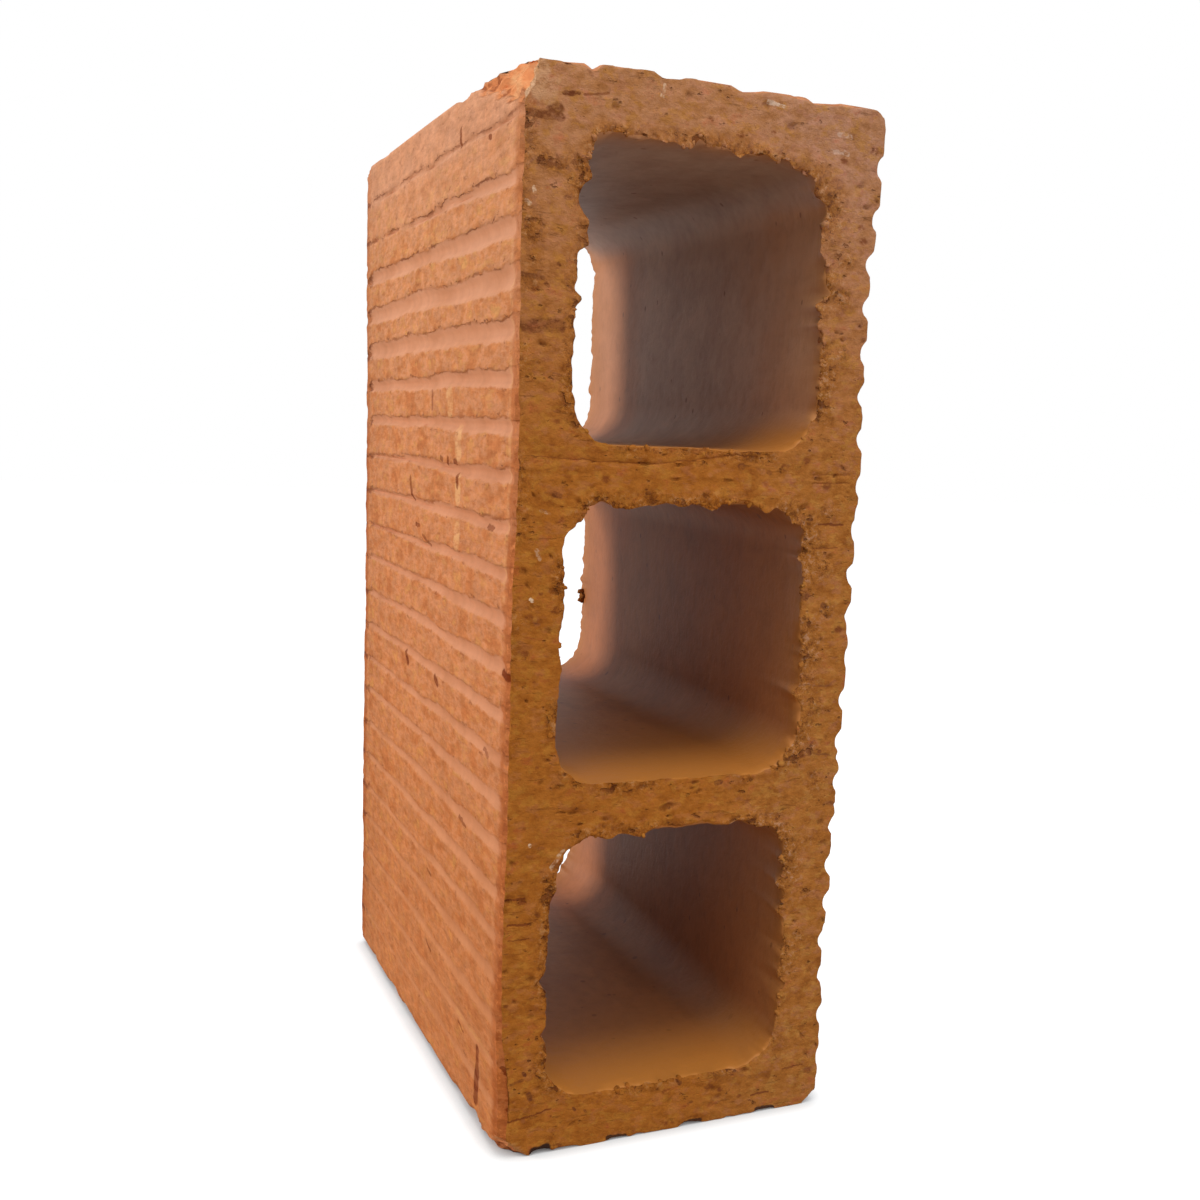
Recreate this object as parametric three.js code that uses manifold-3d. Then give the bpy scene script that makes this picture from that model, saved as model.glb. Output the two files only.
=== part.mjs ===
// Hollow clay brick standing on its narrow bed. Plastic clay was pushed through a die, which
// left three cells and two combed sides, then cut to length with a wire and fired.
// Millimetres, +Z up. The cells run along Y and the combed sides face -X and +X.
// The origin is the middle of the bed that the brick stands on.

import * as THREE from 'three';
import { mergeVertices } from 'three/addons/utils/BufferGeometryUtils.js';
import Module from 'manifold-3d';

// The block
const brickHeight = 240; // Z, from the bed to the opposite face
const brickWidth = 86; // X, over the rib crowns
const cutLength = 140; // Y, between the two wire cuts

// The cells, one above the other
const cellCount = 3;
const bedWall = 13.2; // under the lowest cell
const topWall = 13.6; // over the highest cell
const webThickness = 12.3; // between two cells
const leftWall = 11.8; // -X side, rib crown to cell
const rightWall = 13; // +X side, thicker because the core sits off centre
const cellCornerRadius = 11;

// The comb, grooves that run the whole length of both wide sides
const groovePitch = 10.25;
const grooveWidth = 5.6; // across the mouth, shoulders included
const grooveDepth = 1.3;
const grooveShoulder = 0.9; // radius between a groove and the rib crown
const plainMargin = 9; // least height left plain beyond the outermost grooves' centres

// The edges
const dieCornerRadius = 3; // the four long arrises, rounded by the die
const frontArris = 1.2; // upright arrises of the cut that faces -Y
const rearArris = 3; // upright arrises of the cut that faces +Y, dragged by the wire

// Roundness of the faceted arcs
const facetAngle = THREE.MathUtils.degToRad(18);

// Room by which the plan that trims the column passes its ends
const overrun = 5;

// Corners of the mesh closer than this are one corner
const weldDistance = 1e-4;

const quarterTurn = Math.PI / 2;
const halfTurn = Math.PI;

// Points of an arc about (x, y) from one angle to another, either way round, ends included.
function arcPoints(x, y, radius, from, to) {
  const steps = Math.max(2, Math.ceil(Math.abs(to - from) / facetAngle));
  return Array.from({ length: steps + 1 }, (_, step) => {
    const angle = from + ((to - from) * step) / steps;
    return new THREE.Vector2(x + radius * Math.cos(angle), y + radius * Math.sin(angle));
  });
}

// Rectangle with a radius of its own at each corner, counted from the lower right one and
// anticlockwise.
function roundedRectangle(left, bottom, right, top, radii) {
  const corners = [
    [right, bottom, -1, 1],
    [right, top, -1, -1],
    [left, top, 1, -1],
    [left, bottom, 1, 1],
  ];
  return corners.flatMap(([x, y, inX, inY], index) => {
    const radius = radii[index];
    const start = (index - 1) * quarterTurn;
    return arcPoints(x + inX * radius, y + inY * radius, radius, start, start + quarterTurn);
  });
}

// One groove of the +X side from below to above: a shoulder, the hollow and the other shoulder.
// The three arcs are tangent, so the distance between the shoulder's and the hollow's centres is
// the sum of their radii, which the width and the depth settle.
function groovePoints(height) {
  const face = brickWidth / 2;
  const halfMouth = grooveWidth / 2;
  const centreDistance = (halfMouth ** 2 + grooveDepth ** 2) / (2 * grooveDepth);
  const hollowRadius = centreDistance - grooveShoulder;
  const lean = Math.asin(halfMouth / centreDistance);
  const shoulderX = face - grooveShoulder;
  const hollowX = face - grooveDepth + hollowRadius;
  return [
    ...arcPoints(shoulderX, height - halfMouth, grooveShoulder, 0, lean),
    ...arcPoints(hollowX, height, hollowRadius, halfTurn + lean, halfTurn - lean).slice(1, -1),
    ...arcPoints(shoulderX, height + halfMouth, grooveShoulder, -lean, 0),
  ];
}

// Heights of the groove centres: as many as fit between the plain margins, centred on the side.
function grooveHeights() {
  const combed = brickHeight - 2 * plainMargin;
  const count = Math.floor(combed / groovePitch) + 1;
  const lowest = (brickHeight - (count - 1) * groovePitch) / 2;
  return Array.from({ length: count }, (_, index) => lowest + index * groovePitch);
}

// The die's outer outline, anticlockwise: up the +X side with its grooves, then the same half
// turned about the middle of the section, down the -X side.
function dieOutline() {
  const inset = brickWidth / 2 - dieCornerRadius;
  const lowerCorner = arcPoints(inset, dieCornerRadius, dieCornerRadius, -quarterTurn, 0);
  const upperCorner = arcPoints(
    inset, brickHeight - dieCornerRadius, dieCornerRadius, 0, quarterTurn,
  );
  const half = [...lowerCorner, ...grooveHeights().flatMap(groovePoints), ...upperCorner];
  const turned = half.map((point) => new THREE.Vector2(-point.x, brickHeight - point.y));
  return [...half, ...turned];
}

// Outlines of the cells, lowest first. They share what the bed wall, top wall and webs leave.
function cellOutlines() {
  const webs = (cellCount - 1) * webThickness;
  const cellHeight = (brickHeight - bedWall - topWall - webs) / cellCount;
  const left = -brickWidth / 2 + leftWall;
  const right = brickWidth / 2 - rightWall;
  const radii = Array(4).fill(cellCornerRadius);
  return Array.from({ length: cellCount }, (_, index) => {
    const bottom = bedWall + index * (cellHeight + webThickness);
    return roundedRectangle(left, bottom, right, bottom + cellHeight, radii);
  });
}

// The clay column as it leaves the die, cut square to the brick's length along Y.
function columnGeometry() {
  const section = new THREE.Shape(dieOutline());
  section.holes = cellOutlines().map((outline) => new THREE.Path(outline));
  const column = new THREE.ExtrudeGeometry(section, { depth: cutLength, bevelEnabled: false });
  column.translate(0, 0, -cutLength / 2);
  return column.rotateX(quarterTurn);
}

// What the cuts leave of the column in plan: its upright arrises are rounded.
function planGeometry() {
  const radii = [frontArris, rearArris, rearArris, frontArris];
  const halfWidth = brickWidth / 2;
  const halfLength = cutLength / 2;
  const plan = roundedRectangle(-halfWidth, -halfLength, halfWidth, halfLength, radii);
  const depth = brickHeight + 2 * overrun;
  const prism = new THREE.ExtrudeGeometry(new THREE.Shape(plan), { depth, bevelEnabled: false });
  return prism.translate(0, 0, -overrun);
}

const wasm = await Module();
wasm.setup();

function toSolid(geometry) {
  geometry.deleteAttribute('normal');
  geometry.deleteAttribute('uv');
  const merged = mergeVertices(geometry, weldDistance);
  const mesh = new wasm.Mesh({
    numProp: 3,
    vertProperties: merged.attributes.position.array,
    triVerts: new Uint32Array(merged.index.array),
  });
  return new wasm.Manifold(mesh);
}

function toGeometry(solid) {
  const { vertProperties, triVerts } = solid.getMesh();
  const geometry = new THREE.BufferGeometry();
  geometry.setAttribute('position', new THREE.BufferAttribute(vertProperties, 3));
  geometry.setIndex(new THREE.BufferAttribute(triVerts, 1));
  geometry.computeVertexNormals();
  return geometry;
}

const firedClay = new THREE.MeshStandardMaterial({
  color: 0xb5703a,
  roughness: 0.92,
  metalness: 0,
  flatShading: true,
});

const body = toSolid(columnGeometry()).intersect(toSolid(planGeometry()));
const brickBody = new THREE.Mesh(toGeometry(body), firedClay);
brickBody.name = 'brick_body';

const brick = new THREE.Group();
brick.name = 'clay_brick';
brick.add(brickBody);

export default brick;
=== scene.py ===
# Hollow clay brick standing on its narrow bed: camera, studio, the fired body and its finish.

import functools
import itertools
import math

import bmesh
import bpy
import numpy as np
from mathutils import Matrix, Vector


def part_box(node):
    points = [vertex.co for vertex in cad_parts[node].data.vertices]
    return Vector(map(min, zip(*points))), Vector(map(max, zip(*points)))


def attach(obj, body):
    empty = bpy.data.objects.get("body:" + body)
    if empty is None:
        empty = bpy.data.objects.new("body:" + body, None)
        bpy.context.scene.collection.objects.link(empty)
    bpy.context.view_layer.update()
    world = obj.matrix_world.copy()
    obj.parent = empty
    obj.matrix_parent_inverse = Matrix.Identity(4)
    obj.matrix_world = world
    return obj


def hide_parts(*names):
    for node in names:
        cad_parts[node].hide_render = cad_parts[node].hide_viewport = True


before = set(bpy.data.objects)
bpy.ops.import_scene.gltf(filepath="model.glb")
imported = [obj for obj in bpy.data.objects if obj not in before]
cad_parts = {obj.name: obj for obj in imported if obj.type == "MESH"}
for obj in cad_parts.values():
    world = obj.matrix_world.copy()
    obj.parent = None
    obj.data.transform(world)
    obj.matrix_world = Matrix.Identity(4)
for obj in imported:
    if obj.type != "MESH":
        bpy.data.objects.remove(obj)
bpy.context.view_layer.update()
mm = 0.001

print("frame loaded")

cameraView = {
    "place": (-0.1324, -0.3301, 0.1661),
    "turn": (79.92, -2.39, -23.46),  # degrees about X, Y and Z
    "lens": 39.05,
    "sensor": 36,
    "shift": (-0.0155, 0.0541),
    "clip": 0.01,
}


def makeCamera(view):
    data = bpy.data.cameras.new("camera")
    data.lens = view["lens"]
    data.sensor_width = view["sensor"]
    data.shift_x, data.shift_y = view["shift"]
    data.clip_start = view["clip"]
    camera = bpy.data.objects.new("camera", data)
    camera.location = view["place"]
    camera.rotation_euler = [math.radians(angle) for angle in view["turn"]]
    bpy.context.scene.collection.objects.link(camera)
    bpy.context.scene.camera = camera


makeCamera(cameraView)

# the shapes are worked out in numpy, in millimetres
brick = {
    "cells": 3,
    "bedWall": 13.2,
    "topWall": 13.6,
    "leftWall": 11.8,
    "rightWall": 13.0,
    "web": 12.3,
    "cellRadius": 11.0,
    "bedRadius": 3.0,  # the long edges, which the die and the drying rack rounded
    "topRadius": (1.0, 2.4),  # left and right
    "groovePitch": 10.25,
    "grooveWidth": 5.6,
    "grooveDepth": 1.3,
    "grooveShoulder": 0.9,
    "plainMargin": 9.0,
    "inset": 0.002,  # how far the worn body stays inside the box of the whole one
    # mesh steps: up one cell's height, across the width, from a cell to the outline on each cut,
    # and along the brick outside and inside, with how strongly these gather at the cuts
    "upSteps": 116,
    "acrossSteps": 88,
    "frontSteps": 21,
    "rearSteps": 6,
    "skinSteps": (51, 1.25),
    "cellSteps": (15, 2.0),
}

low, high = (np.array(corner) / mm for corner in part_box("brick_body"))
halfWidth, halfLength, height = high
block = (-halfWidth, 0.0, halfWidth, height)


def softNoise(points, spacing, seed):
    # random heights on a lattice of that spacing, blended with smoothstep weights, -1 to 1
    side = 32
    lattice = np.random.default_rng(seed).uniform(-1, 1, (side, side, side))
    place = np.asarray(points) / spacing
    base = np.floor(place).astype(int)
    part = place - base
    part = part * part * (3 - 2 * part)
    value = np.zeros(len(place))
    for corner in itertools.product((0, 1), repeat=3):
        weight = np.prod(np.where(corner, part, 1 - part), axis=1)
        x, y, z = ((base + corner) % side).T
        value += weight * lattice[x, y, z]
    return value


def layeredNoise(points, spacing, seed, layers=3):
    # a sum of soft noises, each half as wide and half as high as the one before it
    spacing = np.asarray(spacing, float)
    return sum(softNoise(points, spacing / 2 ** n, seed + n) / 2 ** n for n in range(layers))


def held(value):
    # kept between 0 and 1
    return np.clip(value, 0, 1)


def smooth(value, start, end):
    # 0 before start, 1 after end, a smoothstep between
    t = held((value - start) / (end - start))
    return t * t * (3 - 2 * t)


def perimeter(left, bottom, right, top, across, up):
    # points round a rectangle from its lower right corner, anticlockwise; across and up are the
    # shares, 0 to 1, at which each side is divided
    across, up = across[:-1], up[:-1]
    sides = ((np.full(len(up), right), bottom + (top - bottom) * up),
             (right + (left - right) * across, np.full(len(across), top)),
             (np.full(len(up), left), top + (bottom - top) * up),
             (left + (right - left) * across, np.full(len(across), bottom)))
    return np.concatenate([np.stack(side, axis=1) for side in sides])


def roundCorners(points, left, bottom, right, top, radius):
    # each point is pulled onto the circle about the nearest point of the rectangle shrunk by the
    # radius, which leaves the straight sides where they are
    radius = np.broadcast_to(radius, len(points))[:, None]
    core = np.clip(points, np.array([left, bottom]) + radius, np.array([right, top]) - radius)
    away = points - core
    length = np.linalg.norm(away, axis=1, keepdims=True)
    return core + radius * (away / np.maximum(length, 1e-9))


def edgeRadius(xz):
    # the radius of the block's long edge that is nearest to each point
    top = np.where(xz[:, 0] < 0, *brick["topRadius"])
    return np.where(xz[:, 1] < height / 2, brick["bedRadius"], top)


def cellBoxes():
    # left, bottom, right and top of each cell, from the lowest up: the same height for all
    webs = (brick["cells"] - 1) * brick["web"]
    cellHeight = (height - brick["bedWall"] - brick["topWall"] - webs) / brick["cells"]
    left = -halfWidth + brick["leftWall"]
    right = halfWidth - brick["rightWall"]
    for index in range(brick["cells"]):
        bottom = brick["bedWall"] + index * (cellHeight + brick["web"])
        yield left, bottom, right, bottom + cellHeight


def stationsAlong(steps, power):
    # stations along Y, closer together at both ends: the distance from an end grows as a power
    turn = np.linspace(-1, 1, steps + 1)
    return halfLength * np.sign(turn) * (1 - (1 - np.abs(turn)) ** power)


def carried(outline, stations):
    # a grid of points: for each station along Y a row, which is an outline in X and Z
    grid = np.empty((len(stations), outline.shape[-2], 3))
    grid[..., ::2] = outline
    grid[..., 1] = stations[:, None]
    return grid


print("helpers ready")


def brickSurfaces():
    # The block is three kinds of grid. A cut face is one ring of quads round each cell, straight
    # from the cell's outline to the block's outline or to the middle of a web. The skin is the
    # block's outline carried along Y, and a cell wall is its outline carried along Y.
    # Each grid comes with its kind and whether its quads have to be turned to face outwards.
    boxes = list(cellBoxes())
    splits = [0.0, *[(lower[3] + upper[1]) / 2 for lower, upper in zip(boxes, boxes[1:])], height]
    across = np.linspace(0, 1, brick["acrossSteps"] + 1)
    up = np.linspace(0, 1, brick["upSteps"] + 1)
    grids = []
    for box, floor, ceiling in zip(boxes, splits, splits[1:]):
        cell = roundCorners(perimeter(*box, across, up), *box, brick["cellRadius"])
        edge = perimeter(-halfWidth, floor, halfWidth, ceiling, across, up)
        onBlock = ((np.abs(np.abs(edge[:, 0]) - halfWidth) < 1e-6)
                   | (edge[:, 1] < 1e-6) | (edge[:, 1] > height - 1e-6))
        edge = np.where(onBlock[:, None], roundCorners(edge, *block, edgeRadius(edge)), edge)
        for kind, y, flip in (("front", -halfLength, True), ("rear", halfLength, False)):
            # the steps are shorter at both ends
            t = np.linspace(0, 1, brick[kind + "Steps"] + 1)[:, None, None]
            t = 0.6 * t + 0.2 * (1 - np.cos(math.pi * t))
            ring = cell * (1 - t) + edge * t
            grids.append((carried(ring, np.full(len(ring), y)), kind, flip))
        grids.append((carried(cell, stationsAlong(*brick["cellSteps"])), "cell", False))

    heights = [a + (b - a) * up[:-1] for a, b in zip(splits, splits[1:])]
    heights = np.concatenate(heights + [[height]])
    outline = perimeter(*block, across, heights / height)
    # the left side comes down through the same heights that the right side goes up through
    start = len(heights) - 1 + len(across) - 1
    outline[start:start + len(heights) - 1, 1] = heights[:0:-1]
    outline = roundCorners(outline, *block, edgeRadius(outline))
    grids.append((carried(outline, stationsAlong(*brick["skinSteps"])), "skin", True))
    return grids


def weld(grids):
    # corners of different grids at the same place become one vertex, which keeps every kind that
    # meets there; the last column of a grid's quads joins on to the first
    kinds = ("front", "rear", "cell", "skin")
    points = np.concatenate([grid.reshape(-1, 3) for grid, _, _ in grids])
    _, first, number = np.unique(np.round(points, 4), axis=0, return_index=True,
                                 return_inverse=True)
    number = number.reshape(-1)
    marks = {kind: np.zeros(len(first), bool) for kind in kinds}
    faces, slots = [], []
    start = 0
    for grid, kind, flip in grids:
        rows, columns = grid.shape[:2]
        ids = number[start:start + rows * columns].reshape(rows, columns)
        start += rows * columns
        marks[kind][ids] = True
        ids = np.concatenate([ids, ids[:, :1]], axis=1)
        quads = np.stack([ids[:-1, :-1], ids[:-1, 1:], ids[1:, 1:], ids[1:, :-1]], axis=-1)
        quads = quads.reshape(-1, 4)
        faces.append(quads[:, ::-1] if flip else quads)
        slots.append(np.full(len(quads), kinds.index(kind)))
    return points[first], np.concatenate(faces), np.concatenate(slots), marks


def makeMesh(name, points, faces, slots):
    mesh = bpy.data.meshes.new(name)
    mesh.vertices.add(len(points))
    mesh.vertices.foreach_set("co", (points * mm).astype(np.float32).ravel())
    mesh.loops.add(faces.size)
    mesh.loops.foreach_set("vertex_index", faces.astype(np.int32).ravel())
    mesh.polygons.add(len(faces))
    starts = np.arange(len(faces), dtype=np.int32) * faces.shape[1]
    mesh.polygons.foreach_set("loop_start", starts)
    mesh.polygons.foreach_set("material_index", slots.astype(np.int32))
    mesh.polygons.foreach_set("use_smooth", np.ones(len(faces), bool))
    mesh.update(calc_edges=True)
    mesh.validate()
    piece = bpy.data.objects.new(name, mesh)
    bpy.context.scene.collection.objects.link(piece)
    return piece


def outlineDistance(xz, left, bottom, right, top, radius):
    # distance outside a rounded rectangle, less than 0 inside, and the way outwards: past the
    # shrunk core it is the distance to the core less the radius, inside it the nearest side counts
    middle = np.array([(left + right) / 2, (bottom + top) / 2])
    past = np.abs(xz - middle) - np.array([(right - left) / 2, (top - bottom) / 2])
    past += np.broadcast_to(radius, len(xz))[:, None]
    outer = np.maximum(past, 0)
    length = np.linalg.norm(outer, axis=1)
    sideways = past[:, 0] > past[:, 1]
    nearest = np.stack([sideways, ~sideways], axis=1).astype(float)
    way = np.where(length[:, None] > 1e-6, outer / np.maximum(length, 1e-6)[:, None], nearest)
    distance = length + np.minimum(past.max(axis=1), 0) - radius
    return distance, way * np.where(xz >= middle, 1, -1)


def pits(flat, spacing, share, stretch, seed):
    # at most one pit in each square of a grid, at a random place with a random radius: 1 in its
    # middle, falling with the square of the distance to 0 at its rim
    side = 64
    table = np.random.default_rng(seed).uniform(size=(side, side, 4))
    base = np.floor(flat / spacing).astype(int)
    deepest = np.zeros(len(flat))
    for step in itertools.product((-1, 0, 1), repeat=2):
        square = base + step
        pick = table[square[:, 0] % side, square[:, 1] % side]
        centre = (square + pick[:, :2]) * spacing
        radius = spacing * (0.12 + 0.26 * pick[:, 2] ** 2)
        away = np.linalg.norm((flat - centre) * stretch, axis=1) / radius
        deepest = np.maximum(deepest, np.where(pick[:, 3] < share, 1 - away ** 2, 0))
    return held(deepest)


wear = {
    # pairs of numbers are the knots of straight lines. First, by height: the depth of the skin at
    # the near cut, left and right, the near left edge's radius and the depth at the far left edge
    "leftWave": {15: 0.6, 30: 0, 45: 0.1, 75: 0.4, 91: 0.3, 130: 0.3, 155: 0.8, 190: 0.2, 218: 0},
    "rightWave": {
        20: 0, 30: 0.1, 40: 0.5, 49: 0.8, 58: 0.2, 68: 0, 170: 0, 176: 0.4, 182: 0.7, 192: 1.1,
        201: 1.2, 207: 0.9, 211: 0.3, 219: 0},
    "nearRadius": {0: 2.6, 20: 2.4, 33: 1, 44: 0.4, 80: 0.3},
    "leftRearWave": {60: 0, 90: 0.15, 140: 0.3, 165: 0.45, 190: 0.1, 240: 0},
    # how deep the near top and bed edges are chipped, by X, and how far along the brick
    "topNotches": {
        -38: 1, -34: 0.7, -30.6: 0.3, -29.9: 1.2, -28: 1.3, -27.2: 0.1, -21: 0, -14.5: 0, -13.4: 0.7,
        -12.4: 1.1, -8.2: 0.7, -7.2: 0, 4.2: 0, 5.2: 0.5, 6.6: 1, 9.6: 0.6, 12: 0.1, 18: 0, 23.2: 0,
        24.2: 0.9, 28: 0.6, 30: 0.4, 31: 0.1, 37: 0.1, 41: 0.2, 43: 0.5},
    "bedNotches": {
        -43: 0.8, -41: 0.1, -38: 0, -34: 0, -33: 1.2, -29.5: 1.1, -28.5: 0, -15: 0, -14: 0.6, -10: 0.5,
        -9: 0, 4: 0, 5.4: 0.6, 10: 0.5, 11: 0, 25: 0, 26: 0.5, 30.4: 0.5, 31.4: 0, 38: 0, 41: 0.4,
        43: 1.3},
    "notchLength": 3,
    # the right side's grooves by height: how deep they are, and how far their middles lie above
    # their places in the comb
    "rightGroove": 1.3,
    "rightDepth": {
        12: 0.5, 24: 1.1, 105: 1.1, 117: 0.5, 135: 1.1, 156: 0.9, 187: 1.2, 197: 1.4, 217: 1.3, 228: 1},
    "rightShift": {
        12: 0, 23: 1.4, 33: 1.8, 43: 0.2, 54: 0.5, 64: -0.5, 94: 0.5, 125: 0.8, 135: -0.3, 146: 0.4,
        177: 0.8, 187: 0.3, 197: -0.1, 207: -0.9, 217: -1.2, 228: 0},
    # the left side's grooves by height: where a groove's lip and foot lie above its middle, the
    # foot at the near cut and at the far one, how deep it is and how dark its lip's shadow is
    "lipHeight": {
        12: 1.4, 60: 1.7, 110: 1.7, 150: 1.6, 166: 1.9, 176: 2.4, 187: 2.7, 197: 2.6, 207: 2.1,
        217: 1.1, 228: 2},
    "footNear": {
        12: -1, 60: -1.5, 110: -1.7, 156: -1.5, 176: -1.5, 187: -2, 197: -2.4, 207: -2.4, 217: -2,
        228: 1.1},
    "footFar": {
        60: 0.4, 110: 0.3, 156: 0.3, 166: -0.5, 176: -1, 187: -1.7, 197: -2, 207: -1.6, 217: 0.5,
        228: 1.2},
    "leftDepth": {13: 0, 23: 0.2, 60: 0.28, 90: 0.4, 120: 0.6, 150: 0.85, 207: 1, 217: 0.8, 228: 0.5},
    "lipShadow": {
        70: 0, 100: 0.06, 120: 0.16, 146: 0.36, 176: 0.42, 187: 0.6, 197: 0.6, 207: 0.85, 217: 0.95,
        228: 0.75},
    # how far the cells' left walls lie from their place, by height; it fades out away from their X
    # and along the brick
    "cellDrift": {45: -0.5, 120: 0.3, 195: 1.5},
    "driftFade": (-31.2, 11, 60),
    # how jagged a mouth is on each side, and how deep the jags and lumps go in
    "jag": {"up": 0.85, "right": 0.9, "left": 0.55, "down": 0.3},
    "jagReach": 2.2,
    "lumpReach": 4,
    # where the clay beside a mouth stands out into the cell, or fell away: X, Z, radius, how far
    "mouthLumps": [
        (-31, 208.5, 2, 2.2), (-31, 205.4, 1.8, 2.3), (-31, 204.2, 0.8, 1.2), (-31, 218.2, 1.8, 1.3),
        (-31, 212.8, 1.6, -0.6), (-26, 225.5, 3, -1.3), (-31.2, 193.4, 1.1, 1.3), (28, 221, 3, 2.6),
        (22, 226, 2.2, 1.7), (30, 210, 5.5, 1.9), (30, 133, 10, 0.9), (30, 199.5, 1, -1),
        (30, 196.3, 1.2, 1.8), (30, 192.2, 1.2, 1.8), (30, 181.3, 1.5, 0.5), (-2.9, 226.4, 1.4, -1.2),
        (6.2, 226.4, 1.8, 0.6), (15.2, 226.4, 1.5, 0.9), (19.8, 226.4, 1.6, 0.9), (-31, 141.5, 4, -1.2),
        (-31, 129.8, 2.6, 0.7), (-27.2, 148.4, 1.8, 1.4), (-16.5, 151.2, 3.5, 0.9),
        (-22, 151.2, 1.8, -1.3), (4.4, 151.2, 1.4, 0.9), (-31.2, 114.5, 3, 0.65),
        (-31.2, 98.5, 4.5, -0.45), (17.9, 151.2, 1.8, 1.2), (26, 149, 2.5, 1.2),
        (29.7, 142.6, 1.5, 1.3), (-31, 28, 4, 0.7), (-31, 54, 3, -0.2), (-31.2, 64.5, 1.6, 0.7),
        (-30, 68, 3.2, 1.2), (-17, 76, 2, 1.2), (-9.5, 76, 2.8, 1.1), (22.5, 75.4, 3.2, 1.3),
        (30, 65.8, 1.5, 1.3), (30, 59.8, 1.5, 2.4), (30, 52.4, 1.2, 2), (30, 139.5, 1.2, 1.6),
        (30, 107, 1.3, 2), (30, 43.1, 1.2, -1.2), (30, 33.5, 1.4, -1.5), (-31.2, 42.3, 1.4, -1.6),
        (-31.2, 29.5, 1.4, -1.3), (-29.4, 72.3, 1.3, 1.2)],
    "rearLumps": [
        (26, 18, 4.5, 2.45), (29.5, 23, 3, 1.2), (30, 40, 2, -0.4), (30, 118, 1, 0.9),
        (30, 139, 3, 0.5)],
    # where the near cut tore: X, Z, radius and how much
    "tornSpots": [
        (-38.6, 219.9, 1.8, 0.8), (-35.2, 219.4, 1.7, 0.7), (-31.8, 220, 2.2, 0.9),
        (-40.8, 206, 3, 0.8), (-41, 196, 2.4, 0.7), (-39.6, 201, 2, 0.6), (34.6, 206, 3, 0.6),
        (34.2, 199, 3.2, 0.7), (35.5, 186, 2.4, 0.6), (-34.5, 59.1, 1.2, 0.8), (34, 116, 2.4, 0.6),
        (35, 150, 2.4, 0.7), (34, 137, 2.6, 0.9), (36.5, 127, 2, 0.8), (33.6, 119, 2.2, 0.8),
        (35.5, 104, 2.2, 0.7), (34.5, 93, 2, 0.6), (36.5, 85, 2.4, 0.6), (35, 70, 1.8, 0.6),
        (36, 57, 2.2, 0.5), (34.5, 46, 2, 0.6)],
    # how far into a cell the dust on its floor, with the painted light there, reaches, by height
    "dustAndLightReach": {60: 42, 90: 80, 150: 80, 170: 60},
    # how deep in the clay the relief of the skin, the mouths and the cuts fades out
    "fade": {"skin": 6, "mouth": 5, "cut": 8},
    # worn edges: their width and how much of an edge is worn
    "cutToSkin": (1.3, 0.15),
    "cutToCell": (0.9, 0.3),
    "topEdges": (2.2, 0.1),
    "bedEdges": (4.2, 0.45),
    # scratches in the front cut: points of a line in X and Z, half its width, how dark, how deep
    "scars": [
        ([(-39, 160.9), (-32.5, 160.5), (-23, 160.1), (-11, 159.9), (1, 161.3), (9, 162.6), (15, 162.3)],
         0.17, 0.5, 0.2),
        ([(-41, 9.2), (-35, 9.9), (-29.5, 10.9)], 0.22, 0.8, 0.3),
        ([(24.2, 4.9), (28.8, 5.2)], 0.3, 0.8, 0.3), ([(32.5, 10.4), (38.2, 11)], 0.22, 0.7, 0.3),
        ([(32.5, 147.1), (39, 147.2)], 0.26, 0.8, 0.3), ([(31.5, 141.7), (38, 141.8)], 0.2, 0.5, 0.3),
        ([(-42.4, 63.1), (-37.7, 63.2)], 0.24, 0.8, 0.3),
        ([(-41.5, 57.2), (-36.3, 57)], 0.24, 0.8, 0.3), ([(-41, 53.6), (-36.2, 53.5)], 0.2, 0.7, 0.3),
        ([(30, 158.6), (40, 158.9)], 0.18, 0.4, 0.2), ([(30, 156.6), (40, 156.9)], 0.18, 0.4, 0.2),
        ([(-30, 233.4), (-24.5, 234.4)], 0.3, 0.6, 0.3)],
    # a corner or edge broken off: a point on the break, the way it faces, and its roughness
    "breaks": [
        ((-41.9, -47, 239), (-0.93, -0.09, 0.36), 1), ((-40.2, -69.6, 240), (-0.62, -0.55, 0.56), 0.6),
        ((-40.3, -67.6, 3.6), (-0.62, -0.42, -0.66), 0.7),
        ((41, -69.4, 1.9), (0.66, -0.25, -0.71), 0.3), ((41.6, -69.3, 238.9), (0.6, -0.4, 0.69), 0.25),
        ((-42, 68.6, 238.2), (-0.4, 0.45, 0.8), 0.3), ((41.4, 68.7, 238), (0.5, 0.5, 0.71), 0.4),
        ((-41.8, 68.8, 1.2), (-0.5, 0.5, -0.71), 0.3), ((41.2, 68, 2.4), (0.55, 0.55, -0.63), 0.4)],
    "breakReach": 40,
}


def knots(name, places):
    # straight lines between the named knots
    return np.interp(places, list(wear[name]), list(wear[name].values()))


def grooveHeights():
    # the middles of the grooves: as many as fit between the plain margins, centred on the brick
    combed = height - 2 * brick["plainMargin"]
    count = int(combed // brick["groovePitch"]) + 1
    lowest = (height - (count - 1) * brick["groovePitch"]) / 2
    return lowest + brick["groovePitch"] * np.arange(count)


def grooveProfile(offset):
    # depth of the groove at a distance from its middle: a hollow arc between two shoulder arcs
    half = brick["grooveWidth"] / 2
    deep = brick["grooveDepth"]
    shoulder = brick["grooveShoulder"]
    centres = (half ** 2 + deep ** 2) / (2 * deep)
    hollow = centres - shoulder
    turn = hollow * half / centres
    away = np.minimum(np.abs(offset), half)
    inHollow = deep - hollow + np.sqrt(np.maximum(hollow ** 2 - away ** 2, 0))
    inShoulder = shoulder - np.sqrt(np.maximum(shoulder ** 2 - (half - away) ** 2, 0))
    return np.where(away < turn, inHollow, inShoulder)


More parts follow.
